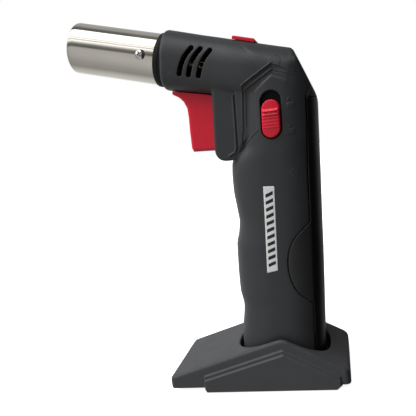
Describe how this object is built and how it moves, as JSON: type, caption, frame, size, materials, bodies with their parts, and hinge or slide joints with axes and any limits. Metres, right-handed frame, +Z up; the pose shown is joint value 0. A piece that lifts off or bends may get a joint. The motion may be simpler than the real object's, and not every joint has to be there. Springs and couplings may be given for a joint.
{
  "type": "butane torch",
  "caption": "Pistol-grip butane torch with a stainless flame tube, sliding trigger, side flame slider, top lock and a roof-shaped desk stand.",
  "frame": {"origin": "middle of the torch-and-stand's footprint, on the bench", "axes": "+X to the rear of the torch (the flame points to -X), +Y to its right side, +Z up"},
  "size_m": [0.137, 0.05, 0.2118],
  "materials": {
    "charcoal_abs": "fine matt texture",
    "spine_black": "satin",
    "red_abs": "satin",
    "stainless_steel": "polished, with fine lengthwise marks",
    "brass": "machined",
    "zinc_plate": "bright zinc",
    "black_rubber": "matt",
    "natural_nylon": "as moulded",
    "white_ceramic": "glazed",
    "white_label": "printed film",
    "tank_plastic": "translucent",
    "wire_insulation": "satin"
  },
  "bodies": {
    "stand": {"stand": "charcoal_abs"},
    "torch": {"housing_left": "charcoal_abs", "housing_right": "charcoal_abs", "rear_spine_panel": "spine_black", "nameplate": "white_label", "bottom_cap": "charcoal_abs", "fuel_tank": "tank_plastic", "refill_valve_body": "brass", "refill_valve_seal": "black_rubber", "gas_valve_body": "brass", "gas_valve_gasket": "black_rubber", "lever_pin": "stainless_steel", "piezo_igniter": "black_rubber", "piezo_lead": "wire_insulation", "gas_hose": "black_rubber", "gas_jet": "brass", "venturi_tube": "brass", "burner_collar": "zinc_plate", "burner_head": "brass", "flame_holder": "brass", "flame_tube": "stainless_steel", "heat_ring": "black_rubber", "electrode_insulator": "white_ceramic", "electrode_wire": "stainless_steel", "tube_screw_left": "zinc_plate", "tube_screw_right": "zinc_plate", "housing_screw_1": "zinc_plate", "housing_screw_2": "zinc_plate", "housing_screw_3": "zinc_plate", "housing_screw_4": "zinc_plate", "refill_valve_spring": "stainless_steel", "gas_valve_spring": "stainless_steel"},
    "trigger": {"trigger": "red_abs", "piezo_plunger": "natural_nylon"},
    "valve_lever": {"valve_lever": "natural_nylon"},
    "gas_nipple": {"gas_valve_nipple": "brass"},
    "lock": {"lock_button": "red_abs", "lock_clip": "natural_nylon"},
    "flame_slider": {"flame_slider": "red_abs", "slider_carriage": "natural_nylon"},
    "regulator": {"regulator_lever": "natural_nylon"},
    "refill_stem": {"refill_valve_stem": "stainless_steel"}
  },
  "joints": [
    {"name": "torch_lift", "type": "slide", "parent": "stand", "child": "torch", "axis": [0, 0, 1], "range_m": [0, 0.03]},
    {"name": "trigger_pull", "type": "slide", "parent": "torch", "child": "trigger", "axis": [0.9613, 0, -0.2756], "range_m": [0, 0.005], "stiffness_N_per_m": 900, "springref_m": -0.003},
    {"name": "lever_turn", "type": "hinge", "parent": "torch", "child": "valve_lever", "pos_m": [0.0377, 0, 0.1225], "axis": [0, 1, 0], "range_deg": [0, 24]},
    {"name": "nipple_lift", "type": "slide", "parent": "torch", "child": "gas_nipple", "axis": [0, 0, 1], "range_m": [0, 0.0025], "deforming": ["gas_valve_spring"]},
    {"name": "lock_slide", "type": "slide", "parent": "torch", "child": "lock", "axis": [-0.9613, 0, 0.2756], "range_m": [-0.0015, 0.003]},
    {"name": "flame_adjust", "type": "slide", "parent": "torch", "child": "flame_slider", "axis": [0.0698, 0, 0.9976], "range_m": [0, 0.0042]},
    {"name": "regulator_turn", "type": "hinge", "parent": "torch", "child": "regulator", "pos_m": [0.0364, 0, 0.11], "axis": [0, -1, 0], "range_deg": [0, 34.92]},
    {"name": "refill_push", "type": "slide", "parent": "torch", "child": "refill_stem", "axis": [0, 0, 1], "range_m": [0, 0.0015], "stiffness_N_per_m": 300, "springref_m": -0.001, "deforming": ["refill_valve_spring"]}
  ],
  "couplings": [
    {"joint": "lever_turn", "follows": "trigger_pull", "rad_per_m": 83.767},
    {"joint": "nipple_lift", "follows": "trigger_pull", "ratio": 0.4999},
    {"joint": "regulator_turn", "follows": "flame_adjust", "rad_per_m": 145.1}
  ]
}
